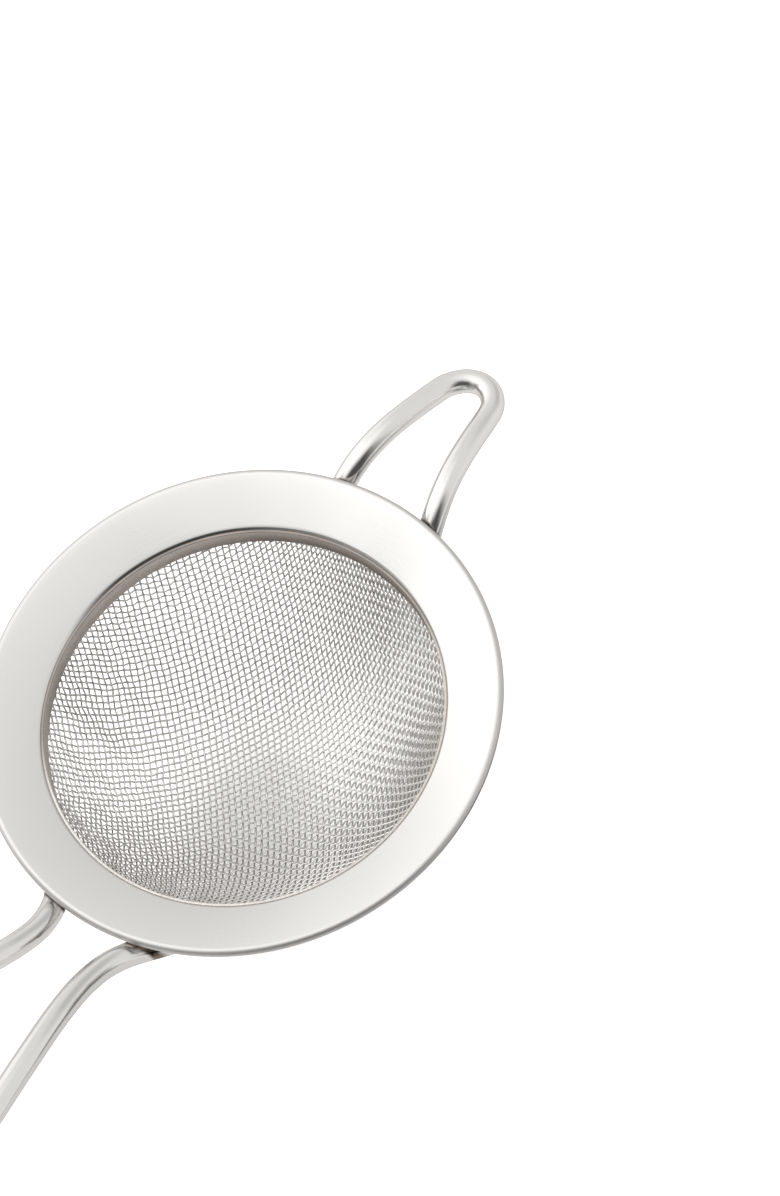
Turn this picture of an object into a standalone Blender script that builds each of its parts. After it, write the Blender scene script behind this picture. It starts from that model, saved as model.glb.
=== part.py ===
"""Tea strainer: a wide conical rim, a woven bowl, a support loop and a two-legged rod handle.

Units are metres, +Z is up. The origin is the centre of the rim, level with the bottom of its
turned-down lip. The handle runs along +X, the support loop along -X and the bowl hangs along -Z.
"""
import math

import bmesh
import bpy
from mathutils import Vector

MM = 0.001

# Rim ring, one piece of pressed sheet
RIM_RADIUS = 40.0 * MM
SHEET = 0.7 * MM
LIP_HEIGHT = 1.15 * MM
LIP_TOP_ROUND = 0.7 * MM
LIP_FOOT_ROUND = 0.3 * MM
BRIM_SLOPE = math.radians(22.0)
COLLAR_BORE = 31.5 * MM
COLLAR_TOP_ROUND = 0.8 * MM
COLLAR_BOTTOM = -5.6 * MM

# Retaining ring and mesh, inside the collar
CLEARANCE = 0.25 * MM
MESH_THICKNESS = 0.25 * MM
RETAINER_THICKNESS = 0.35 * MM
RETAINER_TOP = -2.7 * MM
RETAINER_BOTTOM = -5.15 * MM
BOWL_TOP = -3.1 * MM
BOWL_DEPTH = 24.3 * MM
BOWL_EXPONENT = 2.5

# Rods
ROD_DIAMETER = 3.8 * MM
ROD_ALONG_COLLAR = COLLAR_BORE + SHEET + CLEARANCE + ROD_DIAMETER / 2
WELD_RADIUS = 0.5 * MM
WELD_START = math.radians(28.0)
WELD_END = math.radians(38.0)

# One leg of each rod, from its weld to the end that both legs share, as (x, y, z) in millimetres
HANDLE_LEG = (
    (33.5, 12.2, -4.3),
    (36.1, 9.9, -4.3),
    (38.7, 8.1, -3.6),
    (41.7, 6.75, -1.6),
    (44.8, 6.1, 0.5),
    (48.2, 6.15, 2.8),
    (51.5, 6.6, 4.9),
    (57.0, 7.7, 8.0),
    (65.0, 9.2, 11.2),
    (77.0, 10.6, 13.8),
    (93.0, 11.0, 15.4),
    (111.0, 10.5, 16.2),
    (129.0, 9.6, 16.0),
    (143.0, 8.8, 15.1),
    (152.0, 8.2, 14.2),
    (156.1, 7.1, 13.7),
    (159.1, 4.1, 13.4),
    (160.2, 0.0, 13.3),
)
LOOP_LEG = (
    (-33.3, 12.2, -4.1),
    (-35.7, 9.8, -4.3),
    (-38.2, 8.45, -3.8),
    (-40.9, 8.03, -2.0),
    (-43.6, 7.62, -0.8),
    (-46.2, 7.2, -0.25),
    (-48.9, 6.77, -0.23),
    (-51.6, 6.34, -0.63),
    (-54.3, 5.91, -1.34),
    (-57.0, 5.47, -2.24),
    (-60.1, 4.97, -3.4),
    (-63.1, 4.25, -4.45),
    (-65.35, 2.4, -5.1),
    (-66.15, 0.0, -5.3),
)
WELDED_Z = {"handle": -4.3 * MM, "loop": -4.1 * MM}
WELDED_ARC = (math.radians(40.0), math.radians(26.0))

# Resolution
TURN_STEPS = 72
ROD_SPACING = 3.0 * MM
ROD_BEVEL_RESOLUTION = 3
ARC_POINTS = 4


def clear_scene():
    for scene_object in list(bpy.data.objects):
        bpy.data.objects.remove(scene_object, do_unlink=True)


def new_collection(name):
    collection = bpy.data.collections.new(name)
    bpy.context.scene.collection.children.link(collection)
    return collection


def steel(name, color, roughness):
    material = bpy.data.materials.new(name)
    material.use_nodes = True
    shader = material.node_tree.nodes["Principled BSDF"]
    shader.inputs["Base Color"].default_value = (*color, 1.0)
    shader.inputs["Metallic"].default_value = 1.0
    shader.inputs["Roughness"].default_value = roughness
    return material


def arc(center, radius, start, end, points=ARC_POINTS):
    """Points of an arc in the (radius, height) plane, both ends included, angles in degrees."""
    result = []
    for i in range(points + 1):
        angle = math.radians(start + (end - start) * i / points)
        result.append((center[0] + radius * math.cos(angle), center[1] + radius * math.sin(angle)))
    return result


def turned(name, outline, material, collection, closed=True):
    """Turn an outline of (radius, height) points about the Z axis."""
    mesh = bpy.data.meshes.new(name)
    build = bmesh.new()
    corners = [build.verts.new((radius, 0.0, height)) for radius, height in outline]
    for first, second in zip(corners, corners[1:]):
        build.edges.new((first, second))
    if closed:
        build.edges.new((corners[-1], corners[0]))
    build.to_mesh(mesh)
    build.free()
    ring = bpy.data.objects.new(name, mesh)
    ring.data.materials.append(material)
    collection.objects.link(ring)
    screw = ring.modifiers.new("turn", 'SCREW')
    screw.axis = 'Z'
    screw.angle = math.tau
    screw.steps = TURN_STEPS
    screw.render_steps = TURN_STEPS
    screw.use_merge_vertices = True
    screw.merge_threshold = 0.00001
    screw.use_smooth_shade = True
    return ring


def brim_height(radius):
    """Height of the brim's top face, which leaves the lip's rounded top at the brim's slope."""
    round_center_r = RIM_RADIUS - LIP_TOP_ROUND
    round_center_z = LIP_HEIGHT - LIP_TOP_ROUND
    tangent_r = round_center_r - LIP_TOP_ROUND * math.sin(BRIM_SLOPE)
    tangent_z = round_center_z + LIP_TOP_ROUND * math.cos(BRIM_SLOPE)
    return tangent_z - (tangent_r - radius) * math.tan(BRIM_SLOPE)


def make_rim_ring(collection):
    slope = math.degrees(BRIM_SLOPE)
    lip_inside = RIM_RADIUS - SHEET
    top_center = (RIM_RADIUS - LIP_TOP_ROUND, LIP_HEIGHT - LIP_TOP_ROUND)
    foot_center = (RIM_RADIUS - LIP_FOOT_ROUND, LIP_FOOT_ROUND)
    under_drop = SHEET / math.cos(BRIM_SLOPE)
    # The bend between the brim and the collar is tangent to the brim's top and the collar's bore
    bend_r = COLLAR_BORE + COLLAR_TOP_ROUND
    bend_z = brim_height(bend_r) - COLLAR_TOP_ROUND / math.cos(BRIM_SLOPE)
    collar_outside = COLLAR_BORE + SHEET
    outline = []
    outline += arc(top_center, LIP_TOP_ROUND, 90 + slope, 0, 6)
    outline += arc(foot_center, LIP_FOOT_ROUND, 0, -90, 3)
    outline.append((lip_inside, 0.0))
    outline.append((lip_inside, brim_height(lip_inside) - under_drop))
    outline.append((collar_outside, brim_height(collar_outside) - under_drop))
    outline.append((collar_outside, COLLAR_BOTTOM))
    outline.append((COLLAR_BORE, COLLAR_BOTTOM))
    outline += arc((bend_r, bend_z), COLLAR_TOP_ROUND, 180, 90 + slope, 4)
    material = steel("rim_ring", (0.80, 0.79, 0.78), 0.28)
    return turned("rim_ring", outline, material, collection)


def make_retaining_ring(collection):
    outside = COLLAR_BORE - CLEARANCE - MESH_THICKNESS - CLEARANCE
    inside = outside - RETAINER_THICKNESS
    outline = [
        (outside, RETAINER_TOP),
        (outside, RETAINER_BOTTOM),
        (inside, RETAINER_BOTTOM),
        (inside, RETAINER_TOP),
    ]
    material = steel("retaining_ring", (0.52, 0.50, 0.48), 0.4)
    return turned("retaining_ring", outline, material, collection)


def bowl_profile(wall_radius):
    """The bowl's outer face from its clamped edge to its lowest point."""
    points = [(wall_radius, BOWL_TOP), (wall_radius, RETAINER_BOTTOM)]
    rings = 16
    for i in range(1, rings + 1):
        share = math.cos(0.5 * math.pi * i / rings)
        height = RETAINER_BOTTOM - BOWL_DEPTH * (1.0 - share ** BOWL_EXPONENT)
        points.append((wall_radius * share, height))
    points[-1] = (0.0, RETAINER_BOTTOM - BOWL_DEPTH)
    return points


def make_mesh_bowl(collection):
    wall = COLLAR_BORE - CLEARANCE
    material = steel("mesh_bowl", (0.62, 0.61, 0.60), 0.35)
    bowl = turned("mesh_bowl", bowl_profile(wall), material, collection, closed=False)
    shell = bowl.modifiers.new("wall", 'SOLIDIFY')
    shell.thickness = MESH_THICKNESS
    shell.offset = -1.0
    return bowl


def catmull_rom(points, spacing):
    """A smooth curve through the points, read about every spacing metres."""
    padded = [points[0] * 2 - points[1], *points, points[-1] * 2 - points[-2]]
    result = []
    for i in range(1, len(padded) - 2):
        before, start, end, after = padded[i - 1:i + 3]
        pieces = max(1, round((end - start).length / spacing))
        for j in range(pieces):
            t = j / pieces
            tangent_in = (end - before) * 0.5
            tangent_out = (after - start) * 0.5
            result.append(
                start * (2 * t ** 3 - 3 * t ** 2 + 1)
                + tangent_in * (t ** 3 - 2 * t ** 2 + t)
                + end * (3 * t ** 2 - 2 * t ** 3)
                + tangent_out * (t ** 3 - t ** 2)
            )
    result.append(points[-1])
    return result


def rod_route(leg, side, welded_z):
    """The whole bent rod: welded arc, leg, shared end, and the same mirrored back again."""
    arc_start, arc_end = WELDED_ARC
    half = []
    for i in range(3):
        angle = arc_start + (arc_end - arc_start) * i / 2
        x = side * ROD_ALONG_COLLAR * math.cos(angle)
        half.append(Vector((x, ROD_ALONG_COLLAR * math.sin(angle), welded_z)))
    half += [Vector(point) * MM for point in leg]
    mirrored = [Vector((point.x, -point.y, point.z)) for point in reversed(half[:-1])]
    return catmull_rom(half + mirrored, ROD_SPACING)


def make_rod(name, route, diameter, material, collection):
    curve = bpy.data.curves.new(name, 'CURVE')
    curve.dimensions = '3D'
    curve.bevel_depth = diameter / 2
    curve.bevel_resolution = ROD_BEVEL_RESOLUTION
    curve.use_fill_caps = True
    spline = curve.splines.new('POLY')
    spline.points.add(len(route) - 1)
    for spline_point, position in zip(spline.points, route):
        spline_point.co = (*position, 1.0)
    curve.materials.append(material)
    rod = bpy.data.objects.new(name, curve)
    collection.objects.link(rod)
    return rod


def make_handle(collection):
    material = steel("handle", (0.78, 0.77, 0.76), 0.18)
    route = rod_route(HANDLE_LEG, 1, WELDED_Z["handle"])
    return make_rod("handle", route, ROD_DIAMETER, material, collection)


def make_support_loop(collection):
    material = steel("support_loop", (0.78, 0.77, 0.76), 0.18)
    route = rod_route(LOOP_LEG, -1, WELDED_Z["loop"])
    return make_rod("support_loop", route, ROD_DIAMETER, material, collection)


def make_weld(name, end, hand, collection):
    """A bead in the crevice under a rod, between it and the outside of the collar."""
    side = 1 if end == "handle" else -1
    collar_outside = COLLAR_BORE + SHEET
    radius = collar_outside + CLEARANCE + WELD_RADIUS
    reach = ROD_DIAMETER / 2 + CLEARANCE + WELD_RADIUS
    across = ROD_ALONG_COLLAR - radius
    height = WELDED_Z[end] - math.sqrt(reach ** 2 - across ** 2)
    route = []
    count = 5
    for i in range(count):
        angle = WELD_START + (WELD_END - WELD_START) * i / (count - 1)
        x = side * radius * math.cos(angle)
        route.append(Vector((x, hand * radius * math.sin(angle), height)))
    material = steel(name, (0.55, 0.53, 0.50), 0.45)
    return make_rod(name, route, 2 * WELD_RADIUS, material, collection)


def main():
    clear_scene()
    collection = new_collection("tea_strainer")
    make_rim_ring(collection)
    make_retaining_ring(collection)
    make_mesh_bowl(collection)
    make_support_loop(collection)
    make_handle(collection)
    for end in ("handle", "loop"):
        for hand_name, hand in (("left", 1), ("right", -1)):
            make_weld(f"weld_{end}_{hand_name}", end, hand, collection)


main()
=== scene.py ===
"""Tea strainer in polished and satin stainless steel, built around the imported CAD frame.

Lengths are written in millimetres and turned into metres by MM. The axes are the CAD frame's: the
origin is the centre of the rim, the handle runs along +X, the support loop along -X, and the bowl
hangs along -Z. Azimuths are counted from +X towards +Y, and elevations upwards.
"""
from collections import namedtuple
import itertools
import math

import bmesh
import bpy
import numpy as np
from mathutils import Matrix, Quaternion, Vector


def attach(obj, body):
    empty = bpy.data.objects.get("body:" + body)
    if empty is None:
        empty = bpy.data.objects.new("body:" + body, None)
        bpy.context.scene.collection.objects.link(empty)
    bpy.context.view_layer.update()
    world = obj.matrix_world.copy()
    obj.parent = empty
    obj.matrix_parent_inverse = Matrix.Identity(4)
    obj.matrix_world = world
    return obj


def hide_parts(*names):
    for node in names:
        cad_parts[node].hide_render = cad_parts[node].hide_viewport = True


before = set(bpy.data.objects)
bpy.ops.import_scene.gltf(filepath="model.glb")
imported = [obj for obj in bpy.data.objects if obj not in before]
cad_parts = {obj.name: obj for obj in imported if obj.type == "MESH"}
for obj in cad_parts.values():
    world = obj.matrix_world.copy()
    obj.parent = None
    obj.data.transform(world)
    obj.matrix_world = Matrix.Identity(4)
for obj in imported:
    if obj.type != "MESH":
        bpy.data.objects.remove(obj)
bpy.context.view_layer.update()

MM = 0.001
BODY = "root"

# Rim ring: one pressed sheet with a turned-down lip outside and a collar inside
RIM_RADIUS = 40.15
SHEET = 0.7
LIP_HEIGHT = 1.155
LIP_TOP_ROUND = 0.8
LIP_FOOT_ROUND = 0.3
LIP_EDGE_ROUND = 0.12
BRIM_SLOPE = math.radians(22.0)
COLLAR_BORE = 31.1
COLLAR_OUTSIDE = COLLAR_BORE + SHEET
COLLAR_TOP_ROUND = 0.85
COLLAR_FOOT_ROUND = 0.25
COLLAR_BOTTOM = -5.6
TURN_STEPS = 288

# Soft corners under the brim, from the lip inwards: distance from the wall, and extra drop
CORNER_AT_LIP = ((0.0, 0.3), (0.12, 0.1), (0.4, 0.0))
CORNER_AT_COLLAR = ((0.3, 0.0), (0.08, 0.12), (0.0, 0.4))

# Inner sleeve that holds the mesh; its top flares out to meet the collar's bend
SLEEVE_BORE = 30.76
SLEEVE_THICKNESS = 0.30
SLEEVE_TOP = -2.25
SLEEVE_BOTTOM = -5.38
SLEEVE_EDGE_ROUND = 0.1
SLEEVE_FLARE = 0.11
SLEEVE_FLARE_HEIGHT = 0.35

# Woven bowl; past BOWL_RADIUS its edge goes up between the collar and the sleeve
BOWL_RADIUS = 31.0
BOWL_TOP = -5.25
BOWL_DEPTH = 24.33
BOWL_EXPONENT = 2.49
WALL_SLOPE = 6.0

# The two directions of the weave. The mark is added to the wires' V, so that the material can tell
# them apart; the crimp is how far they wave; the azimuth is the middle wires'; the step is the
# spacing of the crossings along them.
Family = namedtuple("Family", "mark crimp azimuth step")
WARP = Family(0, 0.07, math.radians(37.93), 0.9962)
WEFT = Family(2, 0.20, math.radians(-28.40), 1.0775)
WIRE_RADIUS = 0.152
WIRE_SIDES = 6
WIRE_SAMPLES = 4  # points for each cell of the weave
WIRE_END_Z = -4.6  # where the wires end, between the collar and the sleeve
NET_REACH = 48  # crossings on each side of the centre
NET_MARGIN = 1.2  # how far the two middle wires go past the bowl's radius
NET_OVERRUN = 1.0  # how much farther the other wires may go

# The crimp fades to a small share near the clamped edge
FADE_RISE = 1.0
FADE_HEIGHT = 1.2
CRIMP_AT_EDGE = 0.25

# How a crossing of the weave is found, by Newton's method
SOLVE_ROUNDS = 7
SOLVE_SHIFT = 1e-4
LONGEST_MOVE = 0.4
LARGEST_MISS = 1e-3
SMALLEST_DETERMINANT = 1e-9

# Unevenness of the weave: a wandering of the wires in long and short waves, most on one side and
# near the edge, and a jitter of every crossing
WAVE_COUNT = 7
LONG_WAVE = 9.0
LONG_SHARE = 0.7
SHORT_WAVE = 4.0
SHORT_SHARE = 0.6
WANDER = 0.035
SIDE_WANDER = 0.10
WANDER_AZIMUTH = math.radians(-25.0)
WANDER_START = 12.0
WANDER_WIDTH = 14.0
JITTER = 0.018

# Rods
ROD_DIAMETER = 3.8
ROD_GAP = 0.05
ROD_ALONG_COLLAR = COLLAR_OUTSIDE + ROD_GAP + ROD_DIAMETER / 2
ROD_END_ROUND = 0.3
ROD_SIDES = 36
ROD_SPACING = 0.7

# Where a rod's end lies along the collar: its height, and the azimuths of its start and end
WELDED_Z = {"handle": -4.3, "loop": -4.1}
WELDED_ARC = (math.radians(40.0), math.radians(26.0))

# One leg of each rod, from the rim to the middle of its end, as (x, y, z)
HANDLE_LEG = (
    (33.5, 12.2, -4.3),
    (36.1, 9.9, -4.3),
    (38.7, 8.1, -3.25),
    (41.7, 6.75, -1.35),
    (44.8, 6.1, 0.6),
    (48.2, 6.15, 2.8),
    (51.5, 6.6, 4.9),
    (57.0, 7.7, 8.0),
    (65.0, 9.2, 11.2),
    (77.0, 10.6, 13.8),
    (93.0, 11.0, 15.4),
    (111.0, 10.5, 16.2),
    (129.0, 9.6, 16.0),
    (143.0, 8.8, 15.1),
    (152.0, 8.2, 14.2),
    (156.1, 7.1, 13.7),
    (159.1, 4.1, 13.4),
    (160.2, 0.0, 13.3),
)
LOOP_LEG = (
    (-33.3, 12.2, -4.1),
    (-35.7, 9.8, -4.3),
    (-38.2, 8.45, -3.8),
    (-40.9, 8.03, -2.0),
    (-43.6, 7.62, -0.8),
    (-46.2, 7.2, -0.25),
    (-48.9, 6.77, -0.23),
    (-51.6, 6.34, -0.63),
    (-54.3, 5.91, -1.34),
    (-57.0, 5.47, -2.24),
    (-60.1, 4.97, -3.4),
    (-63.1, 4.25, -4.45),
    (-65.35, 2.4, -5.1),
    (-66.15, 0.0, -5.3),
)

# Weld beads, in the crevice between rod and collar
WELD_START = math.radians(27.0)
WELD_END = math.radians(39.0)
WELD_OFF_COLLAR = 0.45
WELD_OFF_ROD = 0.3
WELD_RADIUS = 0.62
WELD_RIPPLE = 0.06
WELD_RIPPLES = 9
WELD_POINTS = 60
WELD_SIDES = 20

# Floor: a light table. It has a softly shaded spot under the bowl, and a dark patch beside the rim
# that only the metal's reflections see; both are given by their middle, in metres.
FLOOR_Z = -29.95
FLOOR_HALF = 6000.0
FLOOR_GLOW = 0.56
UNDER_BOWL = (9.0 * MM, 1.0 * MM, FLOOR_Z * MM)
DARK_FLOOR = (-5.0 * MM, 85.0 * MM, FLOOR_Z * MM)

# The studio's sky: an even dome, two glows on it, and patches. A glow's direction is its azimuth
# and elevation. A later patch lies over an earlier one, and its angles are in degrees.
DOME_LEVEL = 0.812
DOME_TINT = (1.0, 0.99, 0.978)
HIGH_GLOW = (-48.0, 66.0)
HIGH_GLOW_GAIN = 0.35
LOOP_GLOW = (207.0, 72.0)
LOOP_GLOW_GAIN = 0.09
Patch = namedtuple("Patch", "azimuth half_width low high soft_width soft_height brightness")
PATCHES = (
    Patch(177.0, 19.0, -30.0, 26.0, 30.0, 20.0, 0.56),
    Patch(-78.0, 52.0, -30.0, 72.0, 22.0, 16.0, 1.06),
    Patch(-68.0, 36.0, -30.0, 70.0, 34.0, 14.0, 1.40),
    Patch(-8.0, 45.0, -30.0, 46.0, 26.0, 18.0, 0.36),
    Patch(53.0, 43.0, -30.0, 60.0, 42.0, 30.0, 0.08),
)

# Camera, by what it looks at and where it stands from there
CAMERA_TARGET = (-26.28, 10.16, 0.0)
CAMERA_AZIMUTH = 52.218
CAMERA_ELEVATION = 61.410
CAMERA_DISTANCE = 603.4
CAMERA_ROLL = math.radians(-21.232)
CAMERA_LENS = 120.40

# Finish of the steel: its colour at grazing angles, and the azimuths, in degrees, of the sides on
# which a surface is painted darker, as painted shade, and those on which it is painted brighter, as
# painted light
EDGE_TINT = (0.72, 0.71, 0.70, 1.0)
BLACK = (0.0, 0.0, 0.0)
WHITE = (1.0, 1.0, 1.0)
RIM_BEND_SHADE_SIDE = 226.0
SLEEVE_LIT_SIDE = 325.0
SLEEVE_FOLD_SHADE_SIDE = 230.0
WIRE_SHADED_SIDE = 290.0
WIRE_LIT_SIDE = 190.0


# ---------------------------------------------------------------- shared helpers

def direction(azimuth, elevation):
    """Unit vector towards an azimuth and elevation in degrees."""
    a, e = math.radians(azimuth), math.radians(elevation)
    return Vector((math.cos(e) * math.cos(a), math.cos(e) * math.sin(a), math.sin(e)))


def new_piece(name, vertices, faces, material, node, uvs=None):
    """A smooth mesh piece that rides on the root body and stands for a CAD node."""
    mesh = bpy.data.meshes.new(name)
    mesh.from_pydata(np.asarray(vertices) * MM, [], faces)
    mesh.update()
    mesh.polygons.foreach_set("use_smooth", [True] * len(mesh.polygons))
    if uvs is not None:
        layer = mesh.uv_layers.new(name="run")
        corners = np.empty(len(mesh.loops), dtype=np.int32)
        mesh.loops.foreach_get("vertex_index", corners)
        layer.data.foreach_set("uv", np.asarray(uvs, dtype=np.float32)[corners].ravel())
    mesh.materials.append(material)
    piece = bpy.data.objects.new(name, mesh)
    bpy.context.scene.collection.objects.link(piece)
    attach(piece, BODY)
    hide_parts(node)
    return piece


def face_outwards(piece):
    """Turn all the faces of a closed mesh so that they face outwards."""
    build = bmesh.new()
    build.from_mesh(piece.data)
    bmesh.ops.recalc_face_normals(build, faces=build.faces)
    build.to_mesh(piece.data)
    build.free()


def arc(center, radius, start, end, points):
    """Points of an arc in the (radius, height) plane, both ends included, angles in degrees."""
    angles = np.radians(np.linspace(start, end, points))
    return [(center[0] + radius * math.cos(a), center[1] + radius * math.sin(a)) for a in angles]


def turned(name, outline, material, node):
    """A closed outline of (radius, height) points turned about the Z axis."""
    count = len(outline)
    vertices = []
    for step in range(TURN_STEPS):
        angle = math.tau * step / TURN_STEPS
        for radius, height in outline:
            vertices.append((radius * math.cos(angle), radius * math.sin(angle), height))
    faces = []
    for step in range(TURN_STEPS):
        here = step * count
        after = ((step + 1) % TURN_STEPS) * count
        for i in range(count):
            j = (i + 1) % count
            faces.append((here + i, here + j, after + j, after + i))
    piece = new_piece(name, vertices, faces, material, node)
    face_outwards(piece)
    return piece


def smooth_between(before, start, end, after, t):
    """A point of the smooth curve from start to end, at a share t of the way."""
    return (
        start * (2 * t ** 3 - 3 * t ** 2 + 1)
        + (end - before) * (0.5 * (t ** 3 - 2 * t ** 2 + t))
        + end * (3 * t ** 2 - 2 * t ** 3)
        + (after - start) * (0.5 * (t ** 3 - t ** 2))
    )


def smooth_route(points, spacing):
    """A smooth curve through the points, read about every spacing millimetres."""
    padded = [points[0] * 2 - points[1], *points, points[-1] * 2 - points[-2]]
    result = []
    for i in range(1, len(padded) - 2):
        before, start, end, after = padded[i - 1:i + 3]
        pieces = max(1, round((end - start).length / spacing))
        result += [smooth_between(before, start, end, after, j / pieces) for j in range(pieces)]
    result.append(points[-1])
    return result


def tube_mesh(route, radii, sides):
    """Vertices, faces and UVs of a closed tube along the route, with its own radius at each point.

    U is the distance along the route in centimetres; V goes from 1 to 0 and back round the tube.
    """
    route = np.asarray(route, dtype=float)
    count = len(route)
    tangents = np.gradient(route, axis=0)
    tangents /= np.linalg.norm(tangents, axis=1)[:, None]
    normal = np.array((0.0, 0.0, 1.0))
    lengths = np.concatenate(([0.0], np.cumsum(np.linalg.norm(np.diff(route, axis=0), axis=1))))
    angles = np.arange(sides) * (math.tau / sides)
    vertices = []
    uvs = []
    for i in range(count):
        normal = normal - tangents[i] * (normal @ tangents[i])
        normal /= np.linalg.norm(normal)
        side = np.cross(tangents[i], normal)
        for k, angle in enumerate(angles):
            outwards = normal * math.cos(angle) + side * math.sin(angle)
            vertices.append(route[i] + outwards * radii[i])
            uvs.append((lengths[i] * 0.1, 2.0 * abs(k / sides - 0.5)))
    faces = []
    for i in range(count - 1):
        for k in range(sides):
            n = (k + 1) % sides
            faces.append((i * sides + k, i * sides + n, (i + 1) * sides + n, (i + 1) * sides + k))
    faces.append(tuple(range(sides - 1, -1, -1)))
    faces.append(tuple((count - 1) * sides + k for k in range(sides)))
    return vertices, faces, uvs


# ---------------------------------------------------------------- node helpers

class Nodes:
    """Short calls for building one node tree. A value is a number, a colour or a node's output."""

    def __init__(self, tree):
        self.make = tree.nodes.new
        self.link = tree.links.new

    def put(self, socket, value):
        if isinstance(value, bpy.types.NodeSocket):
            self.link(value, socket)
        else:
            socket.default_value = value

    def math(self, operation, first, second=0.0):
        node = self.make("ShaderNodeMath")
        node.operation = operation
        self.put(node.inputs[0], first)
        self.put(node.inputs[1], second)
        return node.outputs[0]

    def plus(self, first, second):
        return self.math('ADD', first, second)

    def minus(self, first, second):
        return self.math('SUBTRACT', first, second)

    def times(self, first, second):
        return self.math('MULTIPLY', first, second)

    def vector(self, operation, first, second=(0.0, 0.0, 0.0)):
        node = self.make("ShaderNodeVectorMath")
        node.operation = operation
        self.put(node.inputs[0], first)
        self.put(node.inputs[1], second)
        return node.outputs["Value" if operation in ("DOT_PRODUCT", "LENGTH") else "Vector"]

    def toward(self, place, azimuth, elevation=0.0):
        """How far a place lies in a direction from the origin."""
        return self.vector('DOT_PRODUCT', place, tuple(direction(azimuth, elevation)))

    def distance(self, place, point):
        return self.vector('LENGTH', self.vector('SUBTRACT', place, point))

    def combine(self, x, y, z):
        node = self.make("ShaderNodeCombineXYZ")
        for socket, value in zip(node.inputs, (x, y, z)):
            self.put(socket, value)
        return node.outputs[0]

    def axes(self, vector):
        node = self.make("ShaderNodeSeparateXYZ")
        self.put(node.inputs[0], vector)
        return node.outputs

    def noise(self, vector, scale, detail=2.0, roughness=0.5):
        node = self.make("ShaderNodeTexNoise")
        self.put(node.inputs["Vector"], vector)
        node.inputs["Scale"].default_value = scale
        node.inputs["Detail"].default_value = detail
        node.inputs["Roughness"].default_value = roughness
        return node.outputs["Fac"]

    def ramp(self, value, low, high, to_low=0.0, to_high=1.0, smooth=False):
        """The value between low and high, spread from to_low to to_high and held past both."""
        node = self.make("ShaderNodeMapRange")
        if smooth:
            node.interpolation_type = 'SMOOTHSTEP'
        self.put(node.inputs["Value"], value)
        node.inputs["From Min"].default_value = low
        node.inputs["From Max"].default_value = high
        node.inputs["To Min"].default_value = to_low
        node.inputs["To Max"].default_value = to_high
        return node.outputs["Result"]

    def mix(self, factor, first, second):
        node = self.make("ShaderNodeMix")
        node.data_type = 'RGBA'
        self.put(node.inputs["Factor"], factor)
        for socket, value in zip([s for s in node.inputs if s.type == 'RGBA'], (first, second)):
            self.put(socket, value if isinstance(value, bpy.types.NodeSocket) else (*value, 1.0))
        return [s for s in node.outputs if s.type == 'RGBA'][0]

    def bump(self, height, strength, distance):
        node = self.make("ShaderNodeBump")
        node.inputs["Strength"].default_value = strength
        node.inputs["Distance"].default_value = distance
        self.put(node.inputs["Height"], height)
        return node.outputs[0]

    def object_place(self):
        return self.make("ShaderNodeTexCoord").outputs["Object"]

    def uv_place(self):
        return self.make("ShaderNodeTexCoord").outputs["UV"]


def principled(name):
    """A new material, its node helper and its shader."""
    material = bpy.data.materials.new(name)
    material.use_nodes = True
    return material, Nodes(material.node_tree), material.node_tree.nodes["Principled BSDF"]


def metal(name):
    material, nodes, shader = principled(name)
    shader.inputs["Metallic"].default_value = 1.0
    shader.inputs["Specular Tint"].default_value = EDGE_TINT
    return material, nodes, shader


def turned_place(nodes):
    """Radius, height and angle about the Z axis, for marks left by turning."""
    x, y, z = nodes.axes(nodes.object_place())
    radius = nodes.math('SQRT', nodes.plus(nodes.times(x, x), nodes.times(y, y)))
    angle = nodes.math('ARCTAN2', y, x)
    return radius, z, angle


# ---------------------------------------------------------------- materials

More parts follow.
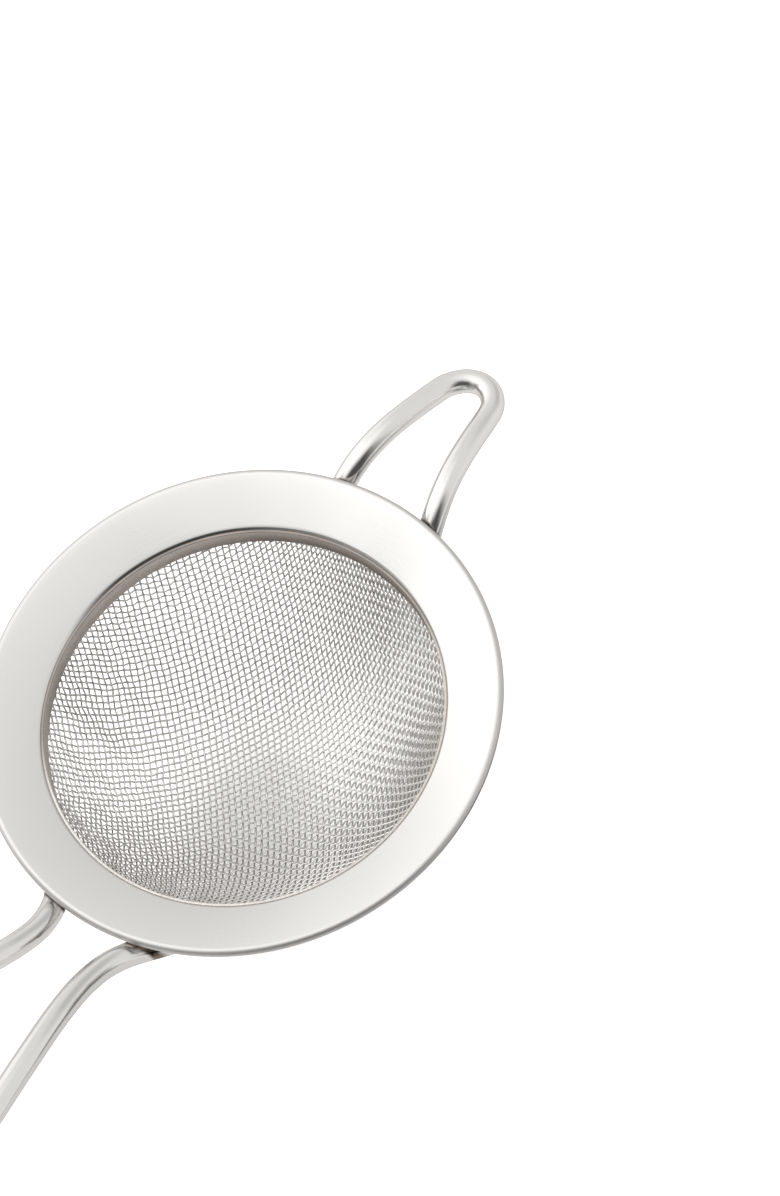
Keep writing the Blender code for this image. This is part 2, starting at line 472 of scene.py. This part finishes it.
def rim_steel():
    """Satin steel, brushed round and round, with a little unevenness in its sheen.

    The lip is duller and painted darker, as painted shade. The brim is painted darker towards the
    collar, and the bend into the collar is painted darker on one side, as painted shade, and is
    smoother there.
    """
    material, nodes, shader = metal("rim_steel")
    place = nodes.object_place()
    radius, height, angle = turned_place(nodes)
    stretched = nodes.times(angle, 0.0004)
    grooves = nodes.noise(nodes.combine(radius, height, stretched), 9000.0, 3.0, 0.65)
    haze = nodes.noise(place, 70.0, 2.0)
    # Painted shade: the lip is painted darker; the same mask also makes it duller.
    lip_shade_and_dullness = nodes.ramp(radius, 39.20 * MM, 39.85 * MM, smooth=True)
    # Painted shade: the bend into the collar is painted darker on one side; the same mask also makes
    # it smoother there.
    bend_shade_and_polish = nodes.times(
        nodes.ramp(radius, 31.55 * MM, 31.95 * MM, 1.0, 0.0, smooth=True),
        nodes.ramp(nodes.toward(place, RIM_BEND_SHADE_SIDE), 20.0 * MM, 28.0 * MM, smooth=True))

    # Painted shade: the brim is painted darker towards the collar and lighter towards the lip.
    inner = nodes.mix(haze, (0.790, 0.782, 0.771), (0.765, 0.756, 0.745))
    outer = nodes.mix(haze, (0.865, 0.858, 0.849), (0.840, 0.832, 0.822))
    brim = nodes.mix(nodes.ramp(radius, 32.0 * MM, 39.0 * MM), inner, outer)
    face = nodes.mix(nodes.times(bend_shade_and_polish, 0.3), brim, BLACK)
    nodes.put(shader.inputs["Base Color"], nodes.mix(lip_shade_and_dullness, face, (0.65, 0.64, 0.63)))

    rough = nodes.plus(
        nodes.ramp(haze, 0.3, 0.7, 0.235, 0.275),
        nodes.ramp(grooves, 0.3, 0.7, -0.02, 0.02))
    rough = nodes.plus(rough, nodes.times(lip_shade_and_dullness, 0.20))
    nodes.put(shader.inputs["Roughness"], nodes.minus(rough, nodes.times(bend_shade_and_polish, 0.13)))
    nodes.put(shader.inputs["Normal"], nodes.bump(grooves, 0.10, 0.04 * MM))

    shader.inputs["Anisotropic"].default_value = 0.5
    shader.inputs["Anisotropic Rotation"].default_value = 0.25
    tangent = nodes.make("ShaderNodeTangent")
    tangent.direction_type = 'RADIAL'
    tangent.axis = 'Z'
    nodes.put(shader.inputs["Tangent"], tangent.outputs[0])
    return material


def sleeve_steel():
    """Unpolished warm steel with streaks, painted lighter on one side and darker on the other as
    painted light and shade; on the darker side it is darker towards the mesh.
    """
    material, nodes, shader = metal("sleeve_steel")
    place = nodes.object_place()
    height, angle = turned_place(nodes)[1:]
    streaks = nodes.noise(nodes.combine(angle, nodes.times(height, 60.0), 0.0), 60.0, 4.0, 0.7)
    patches = nodes.noise(place, 120.0, 3.0)

    # Painted light and shade: the sleeve is painted lighter on one side and darker on the other, and
    # on the darker side darker towards the bottom.
    rise = nodes.ramp(height, SLEEVE_BOTTOM * MM, SLEEVE_TOP * MM, smooth=True)
    shaded_side_tone = nodes.mix(rise, (0.42, 0.37, 0.335), (0.72, 0.68, 0.65))
    lit_side_tone = nodes.mix(rise, (0.93, 0.85, 0.80), (0.90, 0.875, 0.85))
    unshaded = nodes.ramp(nodes.toward(place, SLEEVE_LIT_SIDE), -12.0 * MM, 14.0 * MM, smooth=True)
    # Painted shade: the sleeve's top edge, under the collar's bend, is painted dark on one side.
    fold_shade = nodes.times(
        nodes.ramp(nodes.toward(place, SLEEVE_FOLD_SHADE_SIDE), -4.0 * MM, 8.0 * MM, smooth=True),
        nodes.ramp(height, (SLEEVE_TOP - 0.22) * MM, (SLEEVE_TOP - 0.05) * MM, 0.0, 0.92, smooth=True))
    tint = nodes.mix(fold_shade, nodes.mix(unshaded, shaded_side_tone, lit_side_tone), (0.30, 0.275, 0.255))
    streaked = nodes.mix(nodes.ramp(streaks, 0.40, 0.75, 0.0, 0.45), tint, (0.36, 0.32, 0.29))
    patched = nodes.mix(nodes.ramp(patches, 0.4, 0.7, 0.0, 0.3), streaked, (0.72, 0.62, 0.55))
    nodes.put(shader.inputs["Base Color"], patched)

    nodes.put(shader.inputs["Roughness"], nodes.ramp(streaks, 0.3, 0.7, 0.36, 0.46))
    nodes.put(shader.inputs["Normal"], nodes.bump(streaks, 0.25, 0.05 * MM))
    return material


def mesh_wire():
    """Drawn stainless wire with painted light and shade: darker at the edges of its round, darker on
    one side of the bowl and lighter on another; the weft's flanks are painted a little brighter than
    the warp's.
    """
    material, nodes, shader = metal("mesh_wire")
    place = nodes.object_place()
    run = nodes.uv_place()
    patches = nodes.noise(place, 160.0, 2.0)
    drawn = nodes.noise(nodes.vector('MULTIPLY', run, (6.0, 40.0, 1.0)), 3.0, 2.0)
    is_weft = nodes.ramp(nodes.axes(run)[1], WEFT.mark - 0.6, WEFT.mark - 0.4)

    # Painted light and shade: the wires are painted darker on one side of the bowl, with patchy grey
    # crowns there, and their flanks are painted lighter on another side.
    aside = nodes.toward(place, WIRE_SHADED_SIDE)
    shaded_side = nodes.ramp(aside, -20.0 * MM, 20.0 * MM)
    lit_side = nodes.times(
        nodes.ramp(nodes.toward(place, WIRE_LIT_SIDE), -5.0 * MM, 10.0 * MM, 0.0, 0.45),
        nodes.ramp(aside, -14.0 * MM, -4.0 * MM))
    shaded_crown = nodes.mix(patches, (0.75, 0.74, 0.725), (0.83, 0.82, 0.81))
    crown = nodes.mix(shaded_side, (0.99, 0.98, 0.97), shaded_crown)
    # Painted light: the weft's flanks are painted lighter than the warp's.
    warp_flank = nodes.mix(shaded_side, (0.50, 0.49, 0.48), (0.40, 0.39, 0.38))
    weft_flank = nodes.mix(shaded_side, (0.76, 0.75, 0.74), (0.61, 0.60, 0.585))
    flank = nodes.mix(lit_side, nodes.mix(is_weft, warp_flank, weft_flank), (0.92, 0.91, 0.90))
    # Painted highlight and shade: each wire's crown is painted light and its flanks, towards the edges
    # of its round as seen, darker.
    facing = nodes.make("ShaderNodeLayerWeight").outputs["Facing"]
    edge = nodes.ramp(facing, 0.12, 0.62, smooth=True)
    nodes.put(shader.inputs["Base Color"], nodes.mix(edge, crown, flank))

    nodes.put(shader.inputs["Roughness"], nodes.ramp(drawn, 0.3, 0.7, 0.16, 0.24))
    return material


def rod_steel():
    """Polished rod with faint marks along its length, duller in its tight bends.

    It is painted dark in a narrow band where it passes under the rim's lip: blotches of near-black
    painted shadow mixed with brown staining. The band reaches a little farther out on the loop than on
    the handle.
    """
    material, nodes, shader = metal("rod_steel")
    place = nodes.object_place()
    radius = turned_place(nodes)[0]
    along = nodes.axes(place)[0]
    drawn = nodes.noise(nodes.vector('MULTIPLY', nodes.uv_place(), (1.2, 26.0, 1.0)), 4.0, 4.0, 0.6)
    haze = nodes.noise(place, 110.0, 3.0)

    from_lip = nodes.minus(radius, nodes.ramp(along, -5.0 * MM, 5.0 * MM, 0.45 * MM, 0.0))
    # Painted shadow and staining: under the lip the rod is blotched near-black, as painted shadow, and
    # brown, as staining.
    lip_shadow_and_stain = nodes.times(
        nodes.ramp(radius, 38.6 * MM, 39.6 * MM, smooth=True),
        nodes.ramp(from_lip, 40.05 * MM, 40.6 * MM, 1.0, 0.0, smooth=True))
    unshaded = nodes.mix(haze, (0.87, 0.862, 0.852), (0.83, 0.817, 0.805))
    blotch = nodes.ramp(nodes.noise(place, 600.0, 3.0), 0.35, 0.6)
    shadow_and_stain = nodes.mix(blotch, (0.03, 0.026, 0.022), (0.24, 0.19, 0.15))
    nodes.put(shader.inputs["Base Color"], nodes.mix(lip_shadow_and_stain, unshaded, shadow_and_stain))

    bent = nodes.plus(
        nodes.ramp(along, -66.5 * MM, -58.0 * MM, 0.12, 0.0),
        nodes.ramp(along, 150.0 * MM, 158.5 * MM, 0.0, 0.12))
    rough = nodes.plus(
        nodes.ramp(haze, 0.35, 0.65, 0.10, 0.16),
        nodes.ramp(drawn, 0.3, 0.7, -0.02, 0.03))
    nodes.put(shader.inputs["Roughness"], nodes.plus(rough, bent))
    nodes.put(shader.inputs["Normal"], nodes.bump(drawn, 0.12, 0.05 * MM))
    return material


def weld_metal():
    """Weld metal: dull, with a straw and blue heat tint."""
    material, nodes, shader = metal("weld_metal")
    place = nodes.object_place()
    grain = nodes.noise(place, 1500.0, 3.0)
    heat = nodes.noise(place, 420.0, 1.0)
    tint = nodes.mix(nodes.ramp(heat, 0.35, 0.65), (0.46, 0.40, 0.33), (0.36, 0.38, 0.42))
    nodes.put(shader.inputs["Base Color"], nodes.mix(grain, tint, (0.55, 0.53, 0.50)))
    nodes.put(shader.inputs["Roughness"], nodes.ramp(grain, 0.3, 0.7, 0.35, 0.55))
    nodes.put(shader.inputs["Normal"], nodes.bump(grain, 0.4, 0.05 * MM))
    return material


# ---------------------------------------------------------------- rim and sleeve

def brim_height(radius):
    """Height of the brim's top face, which leaves the lip's rounded top at the brim's slope."""
    tangent_r = RIM_RADIUS - LIP_TOP_ROUND - LIP_TOP_ROUND * math.sin(BRIM_SLOPE)
    tangent_z = LIP_HEIGHT - LIP_TOP_ROUND + LIP_TOP_ROUND * math.cos(BRIM_SLOPE)
    return tangent_z - (tangent_r - radius) * math.tan(BRIM_SLOPE)


def under_brim(radius, drop=0.0):
    """A point of the brim's underside, or one that lies lower by the drop."""
    return radius, brim_height(radius) - SHEET / math.cos(BRIM_SLOPE) - drop


def make_rim(material):
    """The pressed ring.

    Its outline runs down the outside of the lip, inwards under the brim, round the collar's foot,
    up the bore and back out along the top of the brim.
    """
    steep = 90 + math.degrees(BRIM_SLOPE)
    lip_inside = RIM_RADIUS - SHEET
    lip_center = (RIM_RADIUS - LIP_TOP_ROUND, LIP_HEIGHT - LIP_TOP_ROUND)
    bend_r = COLLAR_BORE + COLLAR_TOP_ROUND
    bend_z = brim_height(bend_r) - COLLAR_TOP_ROUND / math.cos(BRIM_SLOPE)
    foot = COLLAR_FOOT_ROUND
    foot_z = COLLAR_BOTTOM + foot
    wall_z = COLLAR_BOTTOM + 1.0

    outline = arc(lip_center, LIP_TOP_ROUND, steep, 0, 14)
    outline += arc((RIM_RADIUS - LIP_FOOT_ROUND, LIP_FOOT_ROUND), LIP_FOOT_ROUND, 0, -80, 6)
    outline += arc((lip_inside + LIP_EDGE_ROUND, LIP_EDGE_ROUND), LIP_EDGE_ROUND, -90, -180, 4)
    outline += [under_brim(lip_inside - away, drop) for away, drop in CORNER_AT_LIP]
    outline += [under_brim(r) for r in np.linspace(lip_inside - 1.0, COLLAR_OUTSIDE + 0.8, 5)]
    outline += [under_brim(COLLAR_OUTSIDE + away, drop) for away, drop in CORNER_AT_COLLAR]
    outline.append((COLLAR_OUTSIDE, wall_z))
    outline += arc((COLLAR_OUTSIDE - foot, foot_z), foot, 0, -90, 5)
    outline += arc((COLLAR_BORE + foot, foot_z), foot, -90, -180, 5)
    outline.append((COLLAR_BORE, wall_z))
    outline += arc((bend_r, bend_z), COLLAR_TOP_ROUND, 180, steep, 14)
    brim_radii = np.linspace(outline[-1][0], outline[0][0], 8)[1:-1]
    outline += [(r, brim_height(r)) for r in brim_radii]
    return turned("rim", outline, material, "rim_ring")


def make_sleeve(material):
    """The pressed ring inside the collar, with rounded edges and a small flare at its top."""
    inside = SLEEVE_BORE
    outside = SLEEVE_BORE + SLEEVE_THICKNESS
    flared = outside + SLEEVE_FLARE
    edge = SLEEVE_EDGE_ROUND
    outline = arc((inside + edge, SLEEVE_TOP - edge), edge, 180, 90, 4)
    outline += arc((flared - edge / 2, SLEEVE_TOP - edge / 2), edge / 2, 90, 0, 4)
    outline.append((outside, SLEEVE_TOP - SLEEVE_FLARE_HEIGHT))
    outline += arc((outside - edge, SLEEVE_BOTTOM + edge), edge, 0, -90, 4)
    outline += arc((inside + edge, SLEEVE_BOTTOM + edge), edge, -90, -180, 4)
    return turned("retaining_sleeve", outline, material, "retaining_ring")


# ---------------------------------------------------------------- woven bowl

def bowl_height(radius):
    """Height of the middle of the weave at a radius from the axis."""
    share = np.minimum(radius / BOWL_RADIUS, 1.0)
    inside = BOWL_TOP - BOWL_DEPTH * (1.0 - share ** BOWL_EXPONENT)
    return inside + np.maximum(radius - BOWL_RADIUS, 0.0) * WALL_SLOPE


def on_bowl(x, y):
    return np.stack([x, y, bowl_height(np.hypot(x, y))], axis=-1)


def bowl_normal(x, y):
    """Unit normals of the bowl that point to its inside."""
    small = SOLVE_SHIFT
    dx = (bowl_height(np.hypot(x + small, y)) - bowl_height(np.hypot(x - small, y))) / (2 * small)
    dy = (bowl_height(np.hypot(x, y + small)) - bowl_height(np.hypot(x, y - small))) / (2 * small)
    normal = np.stack([-dx, -dy, np.ones_like(dx)], axis=-1)
    return normal / np.linalg.norm(normal, axis=-1, keepdims=True)


def meridian_radii(step):
    """Radii of points that lie step millimetres apart along the bowl, from its centre outwards."""
    past_edge = 6.0
    fine = np.linspace(0.0, BOWL_RADIUS + past_edge, 20001)
    heights = bowl_height(fine)
    run = np.concatenate(([0.0], np.cumsum(np.hypot(np.diff(fine), np.diff(heights)))))
    return np.interp(np.arange(NET_REACH + 1) * step, run, fine)


def meeting_point(a, b, guess):
    """The point of the bowl one warp step from a and one weft step from b, next to the guess."""
    x, y = guess

    def misses(px, py):
        p = np.array([px, py, float(bowl_height(math.hypot(px, py)))])
        return np.array([(p - a) @ (p - a) - WARP.step ** 2, (p - b) @ (p - b) - WEFT.step ** 2])

    for _ in range(SOLVE_ROUNDS):
        miss = misses(x, y)
        slope_x = (misses(x + SOLVE_SHIFT, y) - miss) / SOLVE_SHIFT
        slope_y = (misses(x, y + SOLVE_SHIFT) - miss) / SOLVE_SHIFT
        det = slope_x[0] * slope_y[1] - slope_x[1] * slope_y[0]
        if abs(det) < SMALLEST_DETERMINANT:
            return None
        move_x = (miss[0] * slope_y[1] - miss[1] * slope_y[0]) / det
        move_y = (slope_x[0] * miss[1] - slope_x[1] * miss[0]) / det
        size = math.hypot(move_x, move_y)
        scale = min(1.0, LONGEST_MOVE / size) if size > 0 else 1.0
        x -= move_x * scale
        y -= move_y * scale
    if max(abs(misses(x, y))) > LARGEST_MISS:
        return None
    return x, y


def weave_net():
    """Crossing points of the net that drapes over the bowl, as an array of (x, y) or NaN.

    Its middle, at NET_REACH in both indices, is the bowl's centre. Warp wires run along the first
    index and weft wires along the second. Every cell keeps its side lengths and only shears, as
    wire cloth does when it is pressed into a bowl.
    """
    reach = NET_REACH
    net = np.full((2 * reach + 1, 2 * reach + 1, 2), np.nan)
    limit = BOWL_RADIUS + NET_MARGIN
    for family in (WARP, WEFT):
        axis = np.array([math.cos(family.azimuth), math.sin(family.azimuth)])
        for i, radius in enumerate(meridian_radii(family.step)):
            for sign in (1, -1):
                if radius < limit:
                    along = reach + sign * i
                    here = (along, reach) if family is WARP else (reach, along)
                    net[here] = sign * radius * axis
    for sign_i, sign_j in itertools.product((1, -1), repeat=2):
        for total in range(2, 2 * reach + 1):
            for i in range(max(1, total - reach), min(total, reach + 1)):
                here = (reach + sign_i * i, reach + sign_j * (total - i))
                p = net[here[0] - sign_i, here[1]]
                q = net[here[0], here[1] - sign_j]
                o = net[here[0] - sign_i, here[1] - sign_j]
                if np.isnan([p[0], q[0], o[0]]).any():
                    continue
                found = meeting_point(on_bowl(*p), on_bowl(*q), p + q - o)
                if found is not None and math.hypot(*found) < limit + NET_OVERRUN:
                    net[here] = found
    return net


def waves(x, y, seed, scale):
    """A smooth random field of about unit size, made of a few plane waves."""
    random = np.random.default_rng(seed)
    total = np.zeros_like(x)
    for _ in range(WAVE_COUNT):
        angle = random.uniform(0.0, math.tau)
        pitch = scale * random.uniform(0.7, 1.5)
        phase = random.uniform(0.0, math.tau)
        total = total + np.sin((x * math.cos(angle) + y * math.sin(angle)) * math.tau / pitch + phase)
    return total / math.sqrt(WAVE_COUNT / 2)


def disturb(net):
    """Hand-handled wire cloth is not even: its wires wander a little, most on one side."""
    x = net[..., 0]
    y = net[..., 1]
    side = np.clip(np.cos(np.arctan2(y, x) - WANDER_AZIMUTH), 0.0, 1.0)
    near_edge = np.clip((np.hypot(x, y) - WANDER_START) / WANDER_WIDTH, 0.0, 1.0)
    amount = WANDER + SIDE_WANDER * side * near_edge

    def wander(long_seed, short_seed):
        long = waves(x, y, long_seed, LONG_WAVE) * LONG_SHARE
        short = waves(x, y, short_seed, SHORT_WAVE) * SHORT_SHARE
        return amount * (long + short)

    shift = np.stack([wander(3, 5), wander(4, 6)], axis=-1)
    jitter = np.random.default_rng(11).normal(0.0, JITTER, net.shape)
    return net + shift + jitter


def wire_runs(line):
    """Stretches of three or more consecutive crossings that exist, as (first, last) indices."""
    runs = []
    start = None
    for i, missing in enumerate([*np.isnan(line[:, 0]), True]):
        if not missing and start is None:
            start = i
        if missing and start is not None:
            runs.append((start, i - 1))
            start = None
    return [run for run in runs if run[1] - run[0] >= 2]


def wire_path(line, first, last, parity, height):
    """Centre line and bowl normals of one crimped wire, or None for a wire of under five points."""
    knots = line[first:last + 1]
    padded = np.vstack([2 * knots[0] - knots[1], knots, 2 * knots[-1] - knots[-2]])
    count = len(knots)
    s = np.arange((count - 1) * WIRE_SAMPLES + 1) / WIRE_SAMPLES
    cell = np.minimum(s.astype(int), count - 2)
    flat = smooth_between(*(padded[cell + k] for k in range(4)), (s - cell)[:, None])
    middle = on_bowl(flat[:, 0], flat[:, 1])
    normal = bowl_normal(flat[:, 0], flat[:, 1])
    crimp = height * np.cos(math.pi * (s + first + parity))
    crimp *= np.clip((BOWL_TOP + FADE_RISE - middle[:, 2]) / FADE_HEIGHT, CRIMP_AT_EDGE, 1.0)
    inside = np.flatnonzero(middle[:, 2] < WIRE_END_Z)
    if len(inside) < 5:
        return None
    chosen = slice(inside[0], inside[-1] + 1)
    return (middle + normal * crimp[:, None])[chosen], normal[chosen]


def wire_tube(path, normal, mark):
    """Vertices, faces and UVs of a wire whose cross-section stays in line with the bowl.

    U counts the cells of the weave, and V is the family's mark plus the place round the wire.
    """
    count = len(path)
    tangent = np.gradient(path, axis=0)
    tangent /= np.linalg.norm(tangent, axis=1)[:, None]
    up = normal - tangent * np.sum(normal * tangent, axis=1)[:, None]
    up /= np.linalg.norm(up, axis=1)[:, None]
    side = np.cross(tangent, up)
    angles = (np.arange(WIRE_SIDES) + 0.5) * (math.tau / WIRE_SIDES)
    across = np.cos(angles)[None, :, None]
    aside = np.sin(angles)[None, :, None]
    ring = up[:, None, :] * across + side[:, None, :] * aside
    vertices = (path[:, None, :] + ring * WIRE_RADIUS).reshape(-1, 3)
    run = np.repeat(np.arange(count) / WIRE_SAMPLES, WIRE_SIDES)
    around = np.tile(mark + np.abs(np.arange(WIRE_SIDES) / WIRE_SIDES - 0.5), count)
    here = np.arange(count - 1)[:, None] * WIRE_SIDES
    after = here + WIRE_SIDES
    k = np.arange(WIRE_SIDES)[None, :]
    n = (k + 1) % WIRE_SIDES
    quads = np.stack([here + k, here + n, after + n, after + k], axis=-1).reshape(-1, 4)
    faces = [tuple(quad) for quad in quads.tolist()]
    faces.append(tuple(range(WIRE_SIDES - 1, -1, -1)))
    faces.append(tuple(range((count - 1) * WIRE_SIDES, count * WIRE_SIDES)))
    return vertices, faces, np.stack([run, around], axis=-1)


def make_wires(name, lines, family, material):
    """One piece that holds a set of wires of one family, given as (line, parity) pairs."""
    vertices = []
    faces = []
    uvs = []
    total = 0
    for line, parity in lines:
        for first, last in wire_runs(line):
            found = wire_path(line, first, last, parity, family.crimp)
            if found is None:
                continue
            points, corners, places = wire_tube(*found, family.mark)
            vertices.append(points)
            uvs.append(places)
            faces += [tuple(c + total for c in corner) for corner in corners]
            total += len(points)
    return new_piece(
        name, np.vstack(vertices), faces, material, "mesh_bowl", np.vstack(uvs))


def make_bowl(material):
    """The weave, in four pieces: the near and the far half of each family's wires."""
    net = disturb(weave_net())
    count = len(net)
    warp = [(net[:, j], j) for j in range(count)]
    weft = [(net[i, :], i + 1) for i in range(count)]
    for family, family_name, lines in ((WARP, "warp", warp), (WEFT, "weft", weft)):
        make_wires(f"mesh_{family_name}_near", lines[:NET_REACH], family, material)
        make_wires(f"mesh_{family_name}_far", lines[NET_REACH:], family, material)


# ---------------------------------------------------------------- rods and welds

def rod_route(leg, side, welded_z):
    """The whole bent rod: welded arc, leg, shared end, and the same mirrored back again."""
    half = []
    for angle in np.linspace(*WELDED_ARC, 3):
        half.append(Vector((
            side * ROD_ALONG_COLLAR * math.cos(angle), ROD_ALONG_COLLAR * math.sin(angle), welded_z)))
    half += [Vector(point) for point in leg]
    mirrored = [Vector((point.x, -point.y, point.z)) for point in reversed(half[:-1])]
    return smooth_route(half + mirrored, ROD_SPACING)


def make_rod(name, leg, side, welded_z, material, node):
    """A rod with softly broken edges at its two cut ends."""
    route = [tuple(point) for point in rod_route(leg, side, welded_z)]
    start = np.array(route[0]) - np.array(route[1])
    end = np.array(route[-1]) - np.array(route[-2])
    start /= np.linalg.norm(start)
    end /= np.linalg.norm(end)
    edge = ROD_END_ROUND
    turns = np.radians((90, 60, 30))
    lead = [tuple(np.array(route[0]) + start * edge * math.sin(a)) for a in turns]
    tail = [tuple(np.array(route[-1]) + end * edge * math.sin(a)) for a in turns[::-1]]
    full = ROD_DIAMETER / 2
    turned_in = [full - edge + edge * math.cos(a) for a in turns]
    radii = np.concatenate((turned_in, np.full(len(route), full), turned_in[::-1]))
    vertices, faces, uvs = tube_mesh(lead + route + tail, radii, ROD_SIDES)
    return new_piece(name, vertices, faces, material, node, uvs)


def make_weld(name, end, hand, material):
    """A rippled bead laid in the crevice under the rod, between it and the collar."""
    side = 1 if end == "handle" else -1
    radius = COLLAR_OUTSIDE + WELD_OFF_COLLAR
    across = ROD_ALONG_COLLAR - radius
    height = WELDED_Z[end] - math.sqrt((ROD_DIAMETER / 2 + WELD_OFF_ROD) ** 2 - across ** 2)
    route = []
    radii = []
    for i in range(WELD_POINTS):
        share = i / (WELD_POINTS - 1)
        angle = WELD_START + (WELD_END - WELD_START) * share
        ripple = WELD_RIPPLE * abs(math.sin(share * math.pi * WELD_RIPPLES))
        swell = WELD_RADIUS * math.sqrt(max(0.02, 1.0 - (2 * share - 1) ** 4))
        route.append((side * radius * math.cos(angle), hand * radius * math.sin(angle), height))
        radii.append(swell + ripple)
    vertices, faces, uvs = tube_mesh(route, radii, WELD_SIDES)
    return new_piece(name, vertices, faces, material, name, uvs)


# ---------------------------------------------------------------- floor, light, camera

def make_floor():
    """The light table, large enough to fill any view."""
    half = FLOOR_HALF * MM
    corners = [(x * half, y * half, FLOOR_Z * MM) for x, y in ((-1, -1), (1, -1), (1, 1), (-1, 1))]
    mesh = bpy.data.meshes.new("floor")
    mesh.from_pydata(corners, [], [(0, 1, 2, 3)])
    mesh.materials.append(floor_finish())
    floor = bpy.data.objects.new("floor", mesh)
    bpy.context.scene.collection.objects.link(floor)


def floor_finish():
    """White and softly lit to the camera; in the metal's reflections, dark beside the rim."""
    material, nodes, shader = principled("floor")
    place = nodes.object_place()
    shader.inputs["Roughness"].default_value = 0.9
    shader.inputs["Specular IOR Level"].default_value = 0.0
    shader.inputs["Emission Strength"].default_value = FLOOR_GLOW
    lit = nodes.ramp(nodes.distance(place, UNDER_BOWL), 3.0 * MM, 22.0 * MM, 0.69, 1.0, smooth=True)
    nodes.put(shader.inputs["Base Color"], nodes.mix(lit, BLACK, (0.93, 0.915, 0.90)))
    nodes.put(shader.inputs["Emission Color"], nodes.combine(lit, lit, lit))

    away = nodes.ramp(nodes.distance(place, DARK_FLOOR), 25.0 * MM, 90.0 * MM, 0.06, 0.86)
    handle_side = nodes.ramp(nodes.axes(place)[0], -25.0 * MM, 20.0 * MM, 0.0, 0.72)
    level = nodes.math('MAXIMUM', away, handle_side)
    reflected = nodes.make("ShaderNodeEmission")
    nodes.put(
        reflected.inputs["Color"],
        nodes.combine(level, nodes.times(level, 0.985), nodes.times(level, 0.965)))

    choice = nodes.make("ShaderNodeMixShader")
    nodes.put(choice.inputs[0], nodes.make("ShaderNodeLightPath").outputs["Is Glossy Ray"])
    nodes.link(shader.outputs[0], choice.inputs[1])
    nodes.link(reflected.outputs[0], choice.inputs[2])
    nodes.link(choice.outputs[0], material.node_tree.nodes["Material Output"].inputs["Surface"])
    return material


def patch_share(nodes, x, y, elevation, patch):
    """1 inside a patch of sky, falling softly to 0 at its edges."""
    turn = math.radians(patch.azimuth)
    ahead = nodes.plus(nodes.times(x, math.cos(turn)), nodes.times(y, math.sin(turn)))
    aside = nodes.minus(nodes.times(y, math.cos(turn)), nodes.times(x, math.sin(turn)))
    off = nodes.math('ABSOLUTE', nodes.math('ARCTAN2', aside, ahead))
    edge, low, high = (math.radians(angle) for angle in (patch.half_width, patch.low, patch.high))
    wide = math.radians(patch.soft_width) / 2
    tall = math.radians(patch.soft_height) / 2
    across = nodes.ramp(off, edge - wide, edge + wide, 1.0, 0.0, smooth=True)
    bottom = nodes.ramp(elevation, low - tall, low + tall, smooth=True)
    top = nodes.ramp(elevation, high - tall, high + tall, 1.0, 0.0, smooth=True)
    return nodes.times(across, nodes.times(bottom, top))


def make_world():
    """The studio's sky, which the camera itself sees as plain white."""
    world = bpy.data.worlds.new("studio")
    bpy.context.scene.world = world
    world.use_nodes = True
    nodes = Nodes(world.node_tree)
    x, y, z = nodes.axes(nodes.make("ShaderNodeTexCoord").outputs["Generated"])
    outwards = nodes.combine(x, y, z)
    high_glow = nodes.math('POWER', nodes.ramp(nodes.toward(outwards, *HIGH_GLOW), 0.45, 0.94), 2.0)
    level = nodes.plus(DOME_LEVEL, nodes.times(high_glow, HIGH_GLOW_GAIN))
    near_loop_glow = nodes.toward(outwards, *LOOP_GLOW)
    level = nodes.plus(level, nodes.ramp(near_loop_glow, 0.89, 0.98, 0.0, LOOP_GLOW_GAIN, smooth=True))
    elevation = nodes.math('ARCSINE', z)
    for patch in PATCHES:
        share = patch_share(nodes, x, y, elevation, patch)
        level = nodes.plus(level, nodes.times(share, nodes.minus(patch.brightness, level)))
    tint = nodes.vector('MULTIPLY', nodes.combine(level, level, level), DOME_TINT)
    camera_ray = nodes.make("ShaderNodeLightPath").outputs["Is Camera Ray"]
    background = world.node_tree.nodes["Background"]
    nodes.put(background.inputs["Color"], nodes.mix(camera_ray, tint, WHITE))
    background.inputs["Strength"].default_value = 1.0


def stand(item, target, azimuth, elevation, distance, roll=0.0):
    """Put a lamp or camera at a distance from the target, in metres, and turn it to face it."""
    away = direction(azimuth, elevation)
    bpy.context.scene.collection.objects.link(item)
    item.location = target + away * distance
    item.rotation_mode = 'QUATERNION'
    item.rotation_quaternion = away.to_track_quat('Z', 'Y') @ Quaternion((0.0, 0.0, 1.0), roll)


def make_key_light():
    """A square softbox that lights the floor and the matt surfaces, and isn't reflected."""
    light = bpy.data.lights.new("key", 'AREA')
    light.shape = 'SQUARE'
    light.size = 0.7
    light.energy = 6.0
    lamp = bpy.data.objects.new("key", light)
    stand(lamp, Vector(), azimuth=-65.0, elevation=45.0, distance=1.2)
    lamp.visible_camera = False
    lamp.visible_glossy = False


def make_camera():
    data = bpy.data.cameras.new("camera")
    data.sensor_width = 36.0
    data.lens = CAMERA_LENS
    data.clip_start = 0.02
    data.clip_end = 50.0
    camera = bpy.data.objects.new("camera", data)
    target = Vector(CAMERA_TARGET) * MM
    stand(camera, target, CAMERA_AZIMUTH, CAMERA_ELEVATION, CAMERA_DISTANCE * MM, CAMERA_ROLL)
    bpy.context.scene.camera = camera


def main():
    rod = rod_steel()
    weld = weld_metal()
    make_rim(rim_steel())
    make_sleeve(sleeve_steel())
    make_bowl(mesh_wire())
    make_rod("support_loop_rod", LOOP_LEG, -1, WELDED_Z["loop"], rod, "support_loop")
    make_rod("handle_rod", HANDLE_LEG, 1, WELDED_Z["handle"], rod, "handle")
    for end in ("handle", "loop"):
        for hand_name, hand in (("left", 1), ("right", -1)):
            make_weld(f"weld_{end}_{hand_name}", end, hand, weld)
    make_floor()
    make_world()
    make_key_light()
    make_camera()
    bpy.context.scene.view_settings.view_transform = 'Standard'


main()
